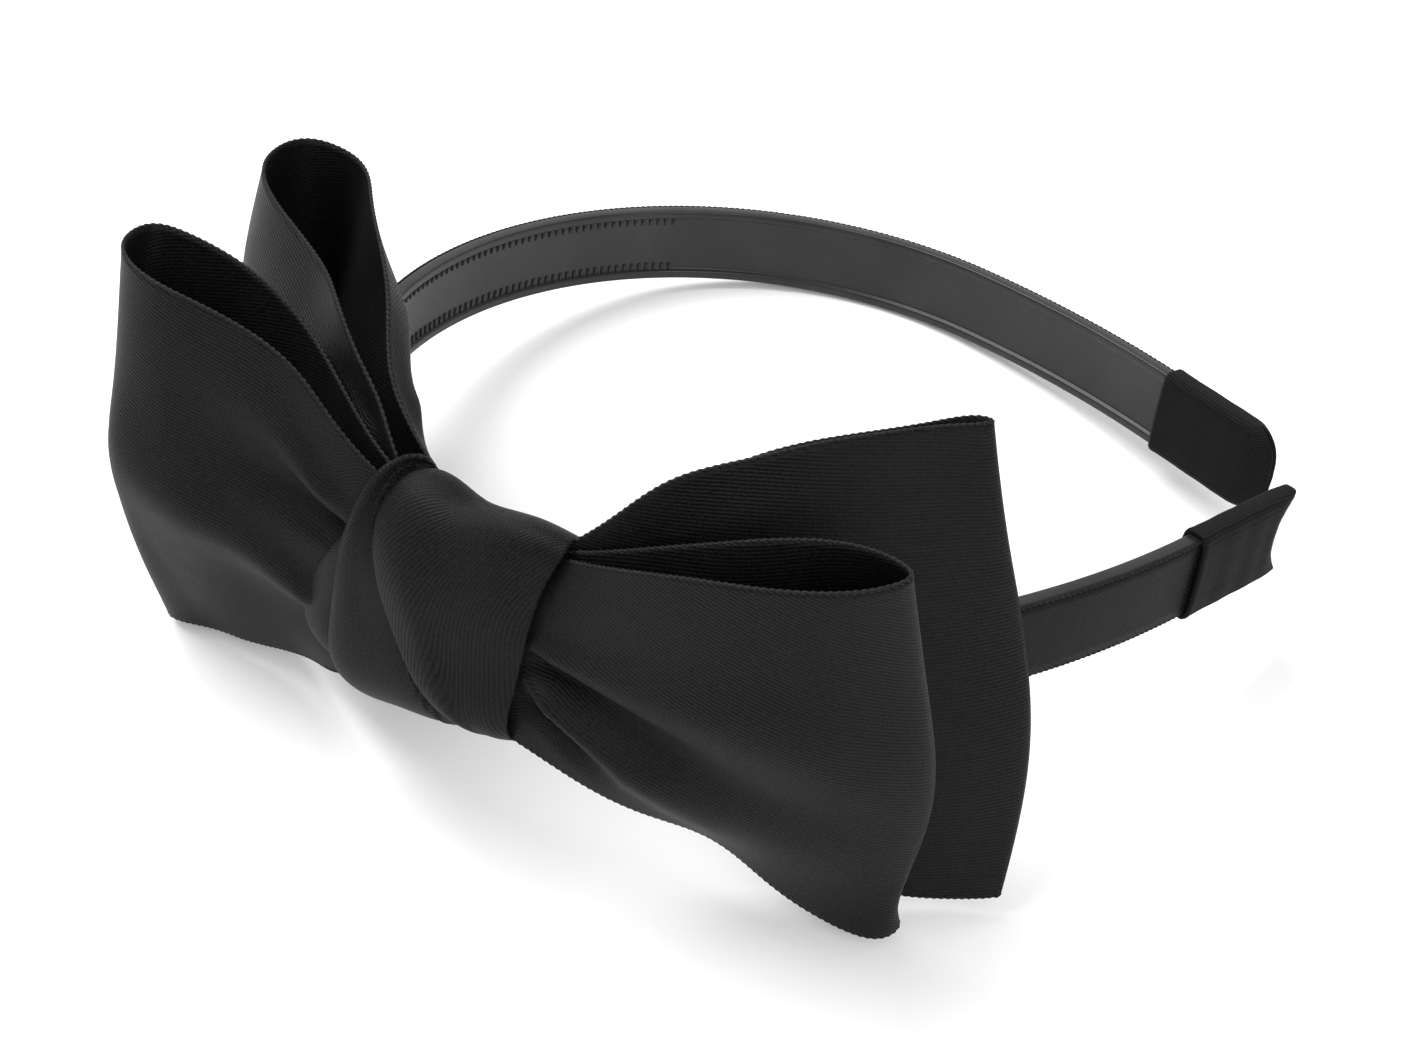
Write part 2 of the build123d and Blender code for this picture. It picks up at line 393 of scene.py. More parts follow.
def satin(name, twill_angle):
    """Black satin-faced ribbon: fine twill lines, soft mottling and a low sheen."""
    material, tree, shader = new_material(name, (0.0045, 0.0045, 0.0048), 0.5, sheen=0.015, specular=0.1)
    shader.inputs["Sheen Tint"].default_value = (0.75, 0.77, 0.8, 1)
    place = node(tree, "ShaderNodeTexCoord")
    uv, solid = place.outputs["UV"], place.outputs["Object"]
    twill = lines(tree, uv, TWILL_PITCH, twill_angle, 0.35)
    threads = lines(tree, uv, TWILL_PITCH * THREAD_SHARE, twill_angle + THREAD_TURN)
    grain = noise(tree, solid, 0.00035, 2.0)
    mottle = noise(tree, solid, 0.009, 3.0)
    level = average(tree, [twill, grain, grain, grain, mottle])
    tree.links.new(ramp(tree, level, 0.36, 0.66, (0.0012, 0.0012, 0.0013), (0.0082, 0.0082, 0.0085)),
                   shader.inputs["Base Color"])
    tree.links.new(span(tree, mottle, 0.42, 0.6), shader.inputs["Roughness"])
    weave = bump(tree, twill, 0.6, 0.00006)
    weave = bump(tree, threads, 0.3, 0.00004, weave)
    tree.links.new(bump(tree, grain, 0.6, 0.00008, weave), shader.inputs["Normal"])
    return material


def selvedge():
    """The ribbon's woven edge: twisted weft loops, a little lighter than the face."""
    material, tree, shader = new_material("selvedge", (0.006, 0.006, 0.0064), 0.5, sheen=0.03, specular=0.16)
    shader.inputs["Sheen Tint"].default_value = (0.8, 0.8, 0.85, 1)
    place = node(tree, "ShaderNodeTexCoord")
    grain = noise(tree, place.outputs["Object"], 0.0004, 3.0)
    tree.links.new(ramp(tree, grain, 0.3, 0.75, (0.003, 0.003, 0.0033), (0.014, 0.014, 0.0145)),
                   shader.inputs["Base Color"])
    strands = lines(tree, place.outputs["UV"], EDGE_STRAND_PITCH, 40)
    tree.links.new(bump(tree, strands, 0.5, 0.00005), shader.inputs["Normal"])
    return material


def plastic():
    """Dark grey moulded plastic: a soft gloss, faint flow marks and fine scuffs."""
    colour = (0.014, 0.014, 0.0155)
    material, tree, shader = new_material("moulded_plastic", colour, 0.3, coat=0.08, specular=0.3)
    place = node(tree, "ShaderNodeTexCoord")
    flow = noise(tree, place.outputs["Object"], 0.012, 4.0)
    scuffs = noise(tree, place.outputs["Object"], 0.0012, 5.0)
    tree.links.new(ramp(tree, flow, 0.3, 0.75, (0.009, 0.009, 0.01), (0.019, 0.019, 0.021)),
                   shader.inputs["Base Color"])
    tree.links.new(span(tree, scuffs, 0.2, 0.42), shader.inputs["Roughness"])
    surface_marks = bump(tree, flow, 0.15, 0.0003)
    tree.links.new(bump(tree, scuffs, 0.12, 0.00006, surface_marks), shader.inputs["Normal"])
    return material


def elastic():
    """Ribbed elastic: lengthwise ribs with fine fuzz, quite matt."""
    colour = (0.006, 0.006, 0.0064)
    material, tree, shader = new_material("ribbed_elastic", colour, 0.75, sheen=0.03, specular=0.1)
    place = node(tree, "ShaderNodeTexCoord")
    ribs = lines(tree, place.outputs["UV"], ELASTIC_RIB_PITCH, 0, 0.2)
    fuzz = noise(tree, place.outputs["Object"], 0.0003, 4.0)
    shade = node(tree, "ShaderNodeMath", [(0, ribs), (1, fuzz)], operation="MULTIPLY")
    tree.links.new(ramp(tree, shade.outputs[0], 0.1, 0.7, (0.0025, 0.0025, 0.0027), (0.012, 0.012, 0.0128)),
                   shader.inputs["Base Color"])
    ribbed = bump(tree, ribs, 0.5, 0.00006)
    tree.links.new(bump(tree, fuzz, 0.5, 0.00006, ribbed), shader.inputs["Normal"])
    return material


def felt():
    """Black wool felt: matted fibres."""
    material, tree, shader = new_material("black_felt", (0.01, 0.01, 0.01), 0.95, sheen=0.12, specular=0.1)
    place = node(tree, "ShaderNodeTexCoord")
    fibres = noise(tree, place.outputs["Object"], 0.0004, 6.0)
    tufts = noise(tree, place.outputs["Object"], 0.0022, 3.0)
    tree.links.new(ramp(tree, fibres, 0.25, 0.75, (0.009, 0.009, 0.009), (0.032, 0.032, 0.033)),
                   shader.inputs["Base Color"])
    matted = bump(tree, tufts, 0.5, 0.0003)
    tree.links.new(bump(tree, fibres, 0.8, 0.00012, matted), shader.inputs["Normal"])
    return material


def thread():
    """Spun polyester sewing thread, with its twist."""
    colour = (0.009, 0.009, 0.009)
    material, tree, shader = new_material("sewing_thread", colour, 0.55, sheen=0.05, specular=0.2)
    place = node(tree, "ShaderNodeTexCoord")
    twist = lines(tree, place.outputs["UV"], SEWING_TWIST_PITCH, 35)
    tree.links.new(ramp(tree, twist, 0.1, 0.9, (0.006, 0.006, 0.006), (0.026, 0.026, 0.027)),
                   shader.inputs["Base Color"])
    tree.links.new(bump(tree, twist, 0.7, 0.00006), shader.inputs["Normal"])
    return material


SELVEDGE = selvedge()
PLASTIC = plastic()
ELASTIC = elastic()
FELT = felt()
THREAD = thread()

# ---------------------------------------------------------------- bow loops
# Each loop is one length of ribbon. A row holds (angle, height, z) points from the waist out along the front
# sheet, round the fold and back to the waist; the rows run from the upper selvedge to the lower one.
# A crease is (start, end, height at the start, height at the end, width). Its start and end are
# (share along, share across).

RIBBON_THICKNESS = 0.45
LOOPS = {}
LOOPS["front_loop_left"] = dict(
    twill=104,
    rows=[
        [(58, 8.6, 12.6), (50, 9.3, 15.2), (44, 11.4, 19.4), (38, 13.8, 24.5), (33, 18.6, 28), (29.5, 24, 30),
         (25.5, 28.7, 31), (20.5, 30.2, 31.2), (16.8, 26.5, 31), (18, 21.7, 30.5), (21, 15.5, 28.5),
         (26, 9.8, 25), (34, 7.1, 21.5), (45, 6.9, 17), (58, 7.2, 13)],
        [(58, 9.4, 5.6), (50, 10.3, 7.4), (44, 12.4, 9.2), (38, 15.6, 11), (33, 20.5, 12), (29.5, 26, 12.5),
         (26, 30.2, 13), (22.2, 31.7, 13), (18, 28.5, 13), (18.5, 22.5, 12.5), (21.5, 16.4, 12),
         (27, 10.6, 11), (35, 7.9, 10), (45, 7.2, 8), (58, 7.2, 6)],
        [(58, 9.6, -5), (50, 10.4, -6), (44, 12, -8), (38, 14.8, -9), (33, 18.8, -9.5), (29, 24, -10),
         (25, 29, -10), (21.8, 30.9, -10), (18, 27, -10), (18.5, 21.5, -10), (21.5, 15.6, -10),
         (27, 10.4, -9.5), (35, 7.9, -8.5), (45, 7.2, -7), (58, 7.2, -5)],
        [(58, 9.4, -13.5), (48, 10.2, -17), (43, 10.5, -20), (36, 9.9, -24), (30, 12.3, -27), (26, 16, -28.6),
         (22.5, 20.4, -29.4), (19.4, 25.4, -30), (16.6, 22.5, -29.8), (17.6, 17, -29), (21, 12.2, -27.5),
         (27, 8.8, -24.5), (35, 7.2, -20.5), (45, 7, -16.5), (58, 7.2, -13.5)],
    ],
    creases=[
        ((0.15, 0.38), (0.36, 0.27), -3.4, 0.0, 0.05),
        ((0.17, 0.26), (0.32, 0.16), 1.3, 0.0, 0.06),
        ((0.19, 0.64), (0.44, 0.45), 1.9, 1.1, 0.06),
        ((0.17, 0.80), (0.40, 0.74), -1.3, -0.6, 0.09),
        ((0.60, 0.35), (1.0, 0.40), 0.0, 1.8, 0.10),
        ((0.62, 0.65), (1.0, 0.62), 0.0, -1.6, 0.10),
    ])
LOOPS["back_loop_left"] = dict(
    twill=104,
    rows=[
        [(60, 6.2, 11.5), (49, 6.1, 16), (43, 4.9, 21), (38, 4.8, 24), (33, 4.9, 27), (24, 4.6, 28.6),
         (15, 7.9, 30), (5, 13.1, 31), (-1.5, 13.9, 31.2), (-6.4, 9.6, 31.2), (-5.6, 3.8, 30.5),
         (2, -1.2, 29.2), (14, -3.4, 28), (27, -2.9, 25.2), (40, 1.1, 20.6), (60, 3.4, 11.5)],
        [(60, 6.2, 7), (49, 5.6, 9.5), (43, 4.9, 12), (38, 5, 14), (33, 5.8, 15.5), (24, 8.4, 16.5),
         (15, 12.4, 17), (5, 15.9, 17.5), (-1.5, 15.9, 18), (-6.8, 11.6, 18), (-7, 6, 17.5),
         (1, 0.2, 17.5), (14, -4.6, 17.5), (27, -4.8, 17), (38, -1.6, 14), (60, 3.3, 7)],
        [(60, 6.2, 2), (49, 5.6, 2.5), (43, 5.2, 3), (38, 5.6, 4), (33, 6.6, 4.5), (24, 9.2, 5),
         (15, 13, 5), (5, 16.2, 5), (-1.5, 16.2, 5), (-7.6, 12.6, 5), (-8, 7.4, 5),
         (-1, 4.6, 5), (12, 2, 5.5), (27, 1.1, 6), (42, 1.5, 4), (60, 3.3, 2)],
        [(60, 6.2, -6), (49, 5.6, -8), (43, 5.2, -9.5), (38, 5.4, -10), (33, 6.2, -10.5), (24, 8.6, -11),
         (15, 12.4, -11), (5, 15.6, -11), (-1.5, 15.4, -11), (-7.6, 11.8, -11), (-8, 7.2, -11),
         (-1, 4.4, -11), (12, 2, -10.5), (27, 1.2, -10), (42, 1.7, -9), (60, 3.3, -6)],
        [(60, 6.2, -12.5), (49, 5.6, -15.5), (43, 5.2, -18), (38, 5.2, -20), (33, 5.6, -21), (24, 7.4, -22),
         (15, 10.6, -22), (5, 13.4, -21.8), (-1.5, 13.2, -21.4), (-6.8, 9.8, -21), (-6.6, 5.6, -21),
         (1, 2.6, -21), (13, 0.8, -21), (27, 0.6, -20.5), (42, 1.6, -17.5), (60, 3.3, -12.5)],
    ],
    creases=[
        ((0.14, 0.15), (0.32, 0.24), 2.0, 0.0, 0.045),
        ((0.14, 0.27), (0.34, 0.36), -1.6, 0.0, 0.06),
        ((0.14, 0.60), (0.40, 0.55), -1.0, 0.0, 0.10),
        ((0.68, 0.17), (0.88, 0.10), 0.4, 2.2, 0.06),
        ((0.62, 0.34), (1.0, 0.34), 0.0, -1.4, 0.08),
        ((0.66, 0.74), (1.0, 0.70), 0.0, -1.4, 0.10),
    ])
LOOPS["front_loop_right"] = dict(
    twill=74,
    rows=[
        [(60, 7.2, 13), (72, 6.8, 14.6), (80, 12, 19.3), (88, 17.3, 24), (93, 20.1, 26), (98, 22.2, 27.7),
         (103, 22, 28.8), (105.3, 19.7, 29.2), (103.8, 16.4, 29.2), (100, 12.3, 28), (95, 10.4, 26.5),
         (89, 8.9, 23.8), (82, 7.2, 20), (73, 6.2, 15.6), (60, 6.9, 13)],
        [(60, 9.4, 5), (72, 9, 6.2), (80, 12.6, 8.3), (88, 16.8, 9.5), (93, 19, 10), (99, 20.8, 10.5),
         (106, 20.2, 10.5), (109.3, 17.6, 10.5), (106.5, 14.2, 10.5), (101, 12, 10.5), (95, 10.9, 10),
         (89, 9.8, 9.5), (82, 8.5, 8.5), (73, 7, 6.5), (60, 7.2, 5)],
        [(60, 9.8, -5), (72, 9.4, -6.2), (80, 11.4, -8.3), (88, 13.4, -9.5), (93, 15.4, -10),
         (100, 18.4, -10.5), (108, 19.6, -10.5), (112.2, 17.2, -10.5), (109, 13.6, -10.5), (102, 10.8, -10.5),
         (95, 9.4, -10), (89, 8.6, -9.5), (82, 7.9, -8), (73, 7.1, -6.5), (60, 7.2, -5)],
        [(60, 8.6, -12.8), (70, 9.2, -13.2), (78, 8.9, -16.6), (86, 7.4, -20.3), (92, 6.4, -22.8),
         (98, 7.8, -27), (105, 11.8, -31), (110.4, 14.9, -32.2), (113, 13.8, -31.6), (111, 11, -31.2),
         (104, 8.2, -29.6), (90, 4.6, -21.6), (82, 5.6, -18.4), (73, 6.6, -15.2), (60, 7.2, -12.8)],
    ],
    creases=[
        ((0.125, 0.41), (0.40, 0.40), 1.5, 0.9, 0.05),
        ((0.125, 0.50), (0.44, 0.66), -3.2, -1.0, 0.05),
        ((0.13, 0.61), (0.31, 0.80), 2.2, 0.8, 0.05),
        ((0.12, 0.72), (0.22, 0.79), -2.6, 0.0, 0.05),
        ((0.60, 0.30), (1.0, 0.36), 0.0, -1.4, 0.09),
        ((0.60, 0.66), (1.0, 0.62), 0.0, -1.4, 0.09),
    ])
LOOPS["back_loop_right"] = dict(
    twill=88,
    rows=[
        [(60, 6, 11.5), (70, 5.6, 14), (78, 5.4, 22.5), (83, 4.1, 28), (90, 1.7, 31), (98, -0.7, 33),
         (107, -2.5, 33.9), (116, -3.1, 34.1), (121, -3.1, 34), (121, -5.2, 33.4), (114, -6.6, 32.4),
         (104, -6.3, 31.2), (94, -4.2, 29.5), (84, -0.6, 24.6), (73, 2.6, 15), (60, 3.4, 11.5)],
        [(60, 6, 7), (70, 5.8, 8.5), (79, 5.8, 12.5), (84, 5.3, 15), (91, 4.2, 17), (99, 2.4, 18),
         (108, 1, 18.5), (119, 0, 18.5), (124.5, -0.2, 18.5), (123.5, -2.4, 18), (115, -3.4, 18),
         (105, -3.1, 17.5), (95, -1.8, 16.5), (85, 0.2, 14.5), (74, 2.7, 10.5), (60, 3.3, 7)],
        [(60, 6, 1), (70, 5.8, 1.5), (80, 5.9, 2), (86, 5.9, 2.5), (93, 5.6, 3), (101, 5.2, 3),
         (110, 4.9, 3), (122, 4.4, 3), (128, 3.4, 3), (124.5, 1.9, 3.5), (115, 1.1, 4),
         (105, 0.9, 4.5), (95, 1, 5), (85, 1.5, 4), (74, 2.9, 2), (60, 3.3, 1)],
        [(60, 6, -6), (70, 5.8, -8), (80, 5.8, -10), (86, 5.4, -11.5), (93, 5.2, -12.5), (101, 5.8, -13),
         (110, 8.2, -13), (122, 10.6, -13), (127, 9.7, -13), (123, 6.6, -13), (115, 4.4, -13),
         (105, 2.6, -12.5), (95, 1.6, -11.5), (85, 1.6, -10), (74, 2.8, -8.5), (60, 3.3, -6)],
        [(60, 6, -12), (72, 5.2, -14.6), (80, 3.8, -18), (87, 2.6, -21.5), (93, 2.6, -25), (100, 4.2, -27.4),
         (109, 8, -28.8), (119, 12.6, -29.4), (124.3, 14, -29.4), (120.5, 10.6, -29.2), (112, 6.6, -28.4),
         (103, 3, -27), (95, 1, -24.5), (86, 1, -20.5), (74, 2.4, -15.2), (60, 3.3, -12)],
    ],
    creases=[
        ((0.06, 0.22), (0.26, 0.14), -0.9, 0.0, 0.07),
        ((0.06, 0.50), (0.36, 0.46), -0.9, 0.0, 0.10),
        ((0.62, 0.74), (1.0, 0.70), 0.0, -1.2, 0.10),
    ])
LOOP_STEPS = (150, 78)
FRONT_COLUMN = LOOP_STEPS[0] // 5
CREASE_FADE = 0.035
CREASE_OVERRUN = 0.2
CREASE_SPREAD = 1.4
SELVEDGE_RADII = (0.31, 0.2)
SELVEDGE_PITCH = 0.95


def crease_lift(creases, along, across):
    """How far each point of a sheet stands off its smooth form, from the creases that pass it."""
    lift = np.zeros_like(along)
    for (a0, c0), (a1, c1), start, end, width in creases:
        share = (along - a0) / (a1 - a0)
        inside = np.clip(share, 0, 1)
        fade = start + (end - start) * inside
        outside = np.maximum(np.maximum(-share, share - 1), 0) * abs(a1 - a0)
        middle = c0 + (c1 - c0) * np.clip(share, -CREASE_OVERRUN, 1 + CREASE_OVERRUN)
        spread = width * (1 + CREASE_SPREAD * (inside if abs(start) > abs(end) else 1 - inside))
        lift += fade * np.exp(-((across - middle) / spread) ** 2) * np.exp(-((outside / CREASE_FADE) ** 2))
    return lift


def loop_grid(rows, creases):
    """The loop's middle surface in the band frame, with its creases."""
    grid = surface([[bow_point(*place) for place in row] for row in rows], *LOOP_STEPS)
    normals = grid_normals(grid)
    centre = len(grid) // 2
    away = grid[centre, FRONT_COLUMN] - np.array([CROWN_RADIUS, 0, 0])
    if normals[centre, FRONT_COLUMN] @ away < 0:
        normals = -normals
    along, across = np.meshgrid(np.linspace(0, 1, LOOP_STEPS[0]), np.linspace(0, 1, LOOP_STEPS[1]))
    return grid + crease_lift(creases, along, across)[:, :, None] * normals


def make_loop(name, rows, creases, twill):
    """A loop of ribbon with a twisted selvedge along each edge."""
    grid = loop_grid(rows, creases)
    shape = Shape()
    shape.sheet(grid, RIBBON_THICKNESS)
    for edge in (grid[0], grid[-1]):
        shape.tube(twisted_cord(edge, SELVEDGE_RADII, SELVEDGE_PITCH), material=1)
    loop = shape.build(name + "_satin", [satin(name + "_twill", twill), SELVEDGE])
    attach(loop, "near_half")
    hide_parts(name)


# ---------------------------------------------------------------- the knot
# Each strand is wrapped right round the bow's waist. A ring holds (height, z) points from the top over the
# front to the bottom and back behind the waist; its angles say where along the band each of those points is.

STRAND_THICKNESS = 0.6
KNOT_STEPS = 160
RIGHT_STRAND = [
    dict(angles=[56, 54, 53.6, 55.2, 58.6, 63.6, 65.8, 64.5, 60, 58, 57],
         ring=[(3.5, 15.6), (7.6, 15.6), (10.4, 12.4), (12.2, 5), (12.4, -3), (11.4, -10), (8.2, -12.8),
               (3.6, -13.6), (1.6, -10), (1.4, 0), (1.6, 10.5)]),
    dict(angles=[54, 52.2, 51.9, 53.3, 56.8, 62.2, 64.8, 63, 59, 57, 55],
         ring=[(3.4, 16.2), (8.2, 16.4), (11.3, 13), (13.2, 5), (13.4, -3), (12.5, -10.6), (8.8, -13.4),
               (3.6, -14.4), (1.4, -10), (1.2, 0), (1.4, 11)]),
    dict(angles=[55, 53.6, 53.2, 54.8, 58.3, 63, 65.4, 64, 60, 58, 56],
         ring=[(3.4, 16.4), (8.4, 16.6), (11.7, 13), (13.6, 5), (13.7, -3), (12.8, -10.9), (8.9, -13.8),
               (3.6, -14.8), (1.4, -10), (1.1, 0), (1.4, 11)]),
    dict(angles=[61, 60.6, 60.6, 61, 62.8, 65.6, 67, 66.6, 65, 64, 62],
         ring=[(3.6, 15.6), (7.6, 15.8), (10.8, 12.2), (12.8, 4.6), (13, -3.6), (12.2, -11.2), (8.8, -14.2),
               (3.8, -15), (1.4, -10), (1.1, 0), (1.4, 11)]),
    dict(angles=[68, 68.4, 67.6, 66.8, 67, 67.7, 68.3, 68.8, 68.4, 68, 68],
         ring=[(3.6, 16.6), (7.4, 17.5), (10, 12.8), (11.6, 4.2), (11.8, -4), (11.4, -11.4), (8.6, -14.2),
               (3.8, -14.9), (1.4, -10), (1.1, 0), (1.4, 10.5)]),
    dict(angles=[73, 73.4, 72, 70.8, 70, 69.6, 69.8, 70.6, 71.2, 71.6, 72.2],
         ring=[(3.6, 16), (7.2, 16.8), (8.9, 12.2), (10.1, 4), (10.5, -4.4), (10.5, -11.4), (8.3, -13.8),
               (3.8, -14.6), (1.5, -10), (1.3, 0), (1.5, 10.5)]),
]
LEFT_STRAND = [
    dict(angles=[51, 50.8, 50.2, 49.3, 48.6, 48.6, 49.4, 50.5, 52, 52, 51],
         ring=[(3.6, 15), (8, 16), (10.6, 12), (11.2, 4), (11.2, -6), (10.6, -13.6), (8, -16.2),
               (3.8, -15.6), (1.8, -9.6), (1.6, 0), (1.8, 9.8)]),
    dict(angles=[50.6, 50.4, 49.2, 47.4, 46.4, 46.6, 47.8, 49.4, 50.8, 50.6, 50.2],
         ring=[(3.6, 16.2), (9.2, 17.2), (12, 12.6), (12.8, 4), (13, -6.5), (12.4, -14.8), (9.2, -18.2),
               (3.9, -17.4), (1.6, -9.8), (1.3, 0), (1.6, 10.4)]),
    dict(angles=[51, 50.8, 49.6, 47.7, 46.9, 47.5, 49.2, 50.2, 51.2, 51.2, 50.6],
         ring=[(3.6, 16.6), (9.6, 17.8), (12.6, 12.8), (13.5, 4), (13.8, -6.4), (13.2, -14.9), (9.6, -18.3),
               (3.9, -17.4), (1.5, -9.9), (1.2, 0), (1.5, 10.6)]),
    dict(angles=[51.4, 51.3, 50.6, 50.2, 51.4, 54, 55.4, 55, 53, 53, 51.8],
         ring=[(3.6, 16.2), (9, 17.4), (12.1, 12.8), (13.2, 4.4), (13.5, -5), (13, -13.8), (9.6, -16.6),
               (3.9, -16), (1.5, -9.9), (1.2, 0), (1.5, 10.6)]),
    dict(angles=[52, 52, 52, 53.6, 57.4, 61.2, 62.2, 61, 57, 56, 53.6],
         ring=[(3.6, 15), (7.8, 15.6), (10.4, 12), (11.9, 4.6), (12.3, -3.4), (12.2, -12), (8.9, -15),
               (3.8, -15), (1.7, -9.8), (1.5, 0), (1.7, 10.4)]),
    dict(angles=[53, 53, 53.4, 55.8, 59.8, 64.2, 65.4, 64, 59, 58, 55],
         ring=[(3.6, 14.4), (7, 14.4), (9.4, 11.6), (11, 4.4), (11.2, -3.2), (11.2, -10.8), (8.2, -13.6),
               (3.8, -13.8), (1.9, -9.6), (1.7, 0), (1.9, 10)]),
]
NECK = [
    dict(angles=[50, 49.8, 49.2, 46.8, 42.9, 42.2, 44.6, 47.6, 49.6, 50, 50],
         ring=[(3.8, 13.4), (7.4, 13.4), (9.6, 10), (11.4, 3), (11.6, -6), (11.2, -12.6), (8.2, -15.2),
               (3.8, -14.6), (2, -9), (1.8, 0), (2, 9)]),
    dict(angles=[49.8, 49.6, 48.7, 45.6, 41.5, 41, 43.6, 47, 49.2, 49.6, 49.8],
         ring=[(3.8, 13.8), (7.8, 13.8), (10.4, 10), (12.7, 3), (13.1, -6.4), (12.6, -13), (9.2, -16.2),
               (3.8, -15.4), (1.8, -9), (1.5, 0), (1.8, 9.4)]),
    dict(angles=[50, 50, 49.4, 47.2, 44.2, 44, 46, 48.6, 50, 50, 50],
         ring=[(3.8, 14), (8, 14), (10.8, 10.4), (13, 3.4), (13.5, -6.4), (13, -13.4), (9.5, -16.6),
               (3.8, -15.6), (1.8, -9), (1.5, 0), (1.8, 9.6)]),
    dict(angles=[51, 50.6, 50.2, 49.4, 48.4, 48.4, 49.4, 50.4, 51.4, 51.6, 51.2],
         ring=[(3.8, 13.8), (7.6, 14), (10.2, 10.8), (11.8, 3.6), (12, -5.6), (11.6, -13), (8.4, -15.6),
               (3.8, -14.8), (2, -9), (1.8, 0), (2, 9.2)]),
]


def strand_grid(rings, across):
    """A wrapped strand as a grid of closed rings, from its left edge to its right one."""
    hoops = np.array([spline([bow_point(a, h, z) for a, (h, z) in zip(ring["angles"], ring["ring"])],
                             KNOT_STEPS, closed=True) for ring in rings])
    gap = np.linalg.norm(np.diff(hoops, axis=0), axis=2).mean(1)
    return spline_at(np.concatenate([[0], np.cumsum(gap)]), hoops, np.linspace(0, gap.sum(), across))


def ring_uv(grid):
    """Distances round the rings and across them, in metres. One column more than the grid closes it."""
    grid = np.concatenate([grid, grid[:, :1]], axis=1)
    around = np.linalg.norm(np.diff(grid, axis=1), axis=2)
    around = np.concatenate([np.zeros((len(grid), 1)), np.cumsum(around, axis=1)], axis=1)
    across = np.concatenate([np.zeros((1, grid.shape[1])),
                             np.cumsum(np.linalg.norm(np.diff(grid, axis=0), axis=2), axis=0)])
    return MM * np.stack([around, across], axis=2)


def outward(grid, normals):
    """The normals, turned away from the middle of the waist."""
    middle = grid.mean((0, 1))
    return np.where(((grid - middle) * normals).sum(2, keepdims=True) < 0, -normals, normals)


def make_strand(name, rings, across, twill, node_name, ridges=None):
    """A wrapped strand. ridges are fine raised lines that run round it near its right edge."""
    grid = strand_grid(rings, across)
    if ridges:
        width = ring_uv(grid)[:, :-1, 1] / MM
        span_of_ridges = ridges["count"] * ridges["pitch"]
        into = (ridges["from_edge"] + span_of_ridges) - (width[-1] - width)
        edge = (into > 0) & (into < span_of_ridges)
        lift = ridges["height"] * np.where(edge, 1 - np.cos(2 * pi * into / ridges["pitch"]), 0) / 2
        normals = grid_normals(grid, closed=True)
        grid = grid + lift[:, :, None] * outward(grid, normals)
    shape = Shape()
    shape.sheet(grid, STRAND_THICKNESS, closed=True, uv=ring_uv(grid))
    strand = shape.build(name, [satin(name + "_twill", twill)])
    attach(strand, "near_half")
    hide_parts(node_name)


# ---------------------------------------------------------------- the plastic band and its cover

CROWN_MESH_RUN = 85.0
BAND_STEP = 1.1
EDGE_ROUND = 0.28
TOOTH_PITCH = radians(1.3) * CROWN_RADIUS
TOOTH_COUNT = 54
TOOTH_LENGTH = 1.3
TOOTH_WIDTH = 0.6
TOOTH_HEIGHT = 0.35
TOOTH_ROOT = 0.3
TOOTH_ROW = 4.2
TOOTH_SHOULDER = 0.12
TOOTH_SECTIONS = ((-0.5, 0.18), (-0.38, 0.02), (0, 0), (0.38, 0.02), (0.5, 0.18))
RIM_SLOPE = 0.25
CRISP_ANGLE = 50


def rounded(corners, radius, steps=3):
    """A closed outline with its corners rounded. corners are (offset, z) points."""
    outline = []
    for i, corner in enumerate(corners):
        corner = np.array(corner)
        before, after = np.array(corners[i - 1]) - corner, np.array(corners[(i + 1) % len(corners)]) - corner
        before, after = before / np.linalg.norm(before), after / np.linalg.norm(after)
        for step in range(steps + 1):
            t = step / steps
            outline.append(corner + radius * ((1 - t) ** 2 * before + t ** 2 * after))
    return outline


def sweep_band(shape, outline, start, stop):
    """An outline of (offset, z) points carried along the band from one signed run to another."""
    runs = np.linspace(start, stop, int(abs(stop - start) / BAND_STEP) + 1)
    shape.tube([[(*band_line(run, offset), z) for offset, z in outline] for run in runs])


def plastic_outline():
    """The band's section: a flat back and two raised rims inside, with a channel between them."""
    half, floor = BAND_HALF_WIDTH, BAND_HALF_WIDTH - RIM_WIDTH
    corners = [(BAND_DEPTH, -half), (BAND_DEPTH, half), (0, half), (0, floor),
               (RIM_HEIGHT, floor - RIM_SLOPE), (RIM_HEIGHT, RIM_SLOPE - floor), (0, -floor), (0, -half)]
    return rounded(corners, EDGE_ROUND)


def add_teeth(shape, side):
    """Two rows of grip teeth along one side of the crown, each a small wedge with a rounded tip."""
    top, base = RIM_HEIGHT - TOOTH_HEIGHT, RIM_HEIGHT + TOOTH_ROOT
    half = TOOTH_WIDTH / 2
    for i in range(1, TOOTH_COUNT + 1):
        run = side * i * TOOTH_PITCH
        for row in (-TOOTH_ROW, TOOTH_ROW):
            rings = []
            for z_share, drop in TOOTH_SECTIONS:
                tip, shoulder = top + drop, top + drop + TOOTH_SHOULDER
                profile = [(-half, base), (-half * 0.8, shoulder), (-half * 0.35, tip),
                           (half * 0.35, tip), (half * 0.8, shoulder), (half, base)]
                z = row + z_share * TOOTH_LENGTH
                rings.append([(*band_line(run + r, offset), z) for r, offset in profile])
            shape.tube(rings)


